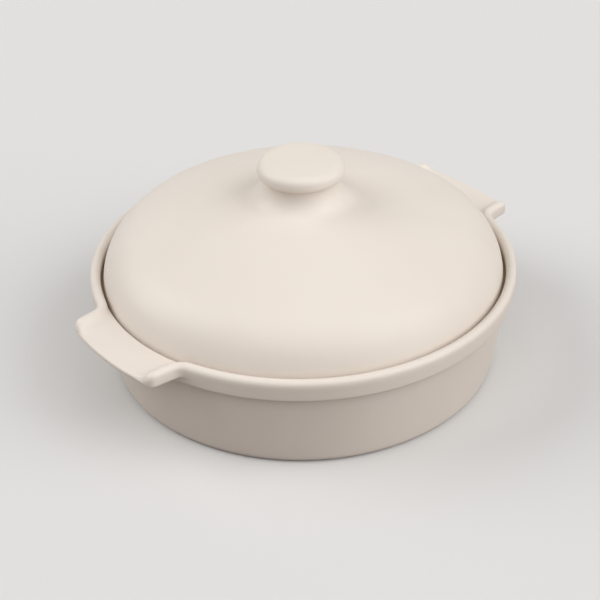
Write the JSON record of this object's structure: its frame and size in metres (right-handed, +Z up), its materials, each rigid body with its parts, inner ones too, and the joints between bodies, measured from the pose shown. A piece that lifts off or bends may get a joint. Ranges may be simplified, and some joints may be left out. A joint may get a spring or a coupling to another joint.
{
  "type": "casserole dish",
  "caption": "Low round casserole dish in cream glazed ceramic, with lug handles that grow out of the lip and a loose domed lid with a disc knob, for baking and serving.",
  "frame": {"origin": "middle of the foot ring, on the table", "axes": "+X along the line through the two handles, +Z up along the axis of the dish and the lid"},
  "size_m": [0.328, 0.29, 0.1473],
  "materials": {
    "glaze": "satin"
  },
  "bodies": {
    "dish": {"dish": "glaze"},
    "lid": {"lid": "glaze"}
  },
  "joints": [
    {"name": "lid_lift", "type": "slide", "parent": "dish", "child": "lid", "axis": [0, 0, 1], "range_m": [0, 0.15]}
  ]
}
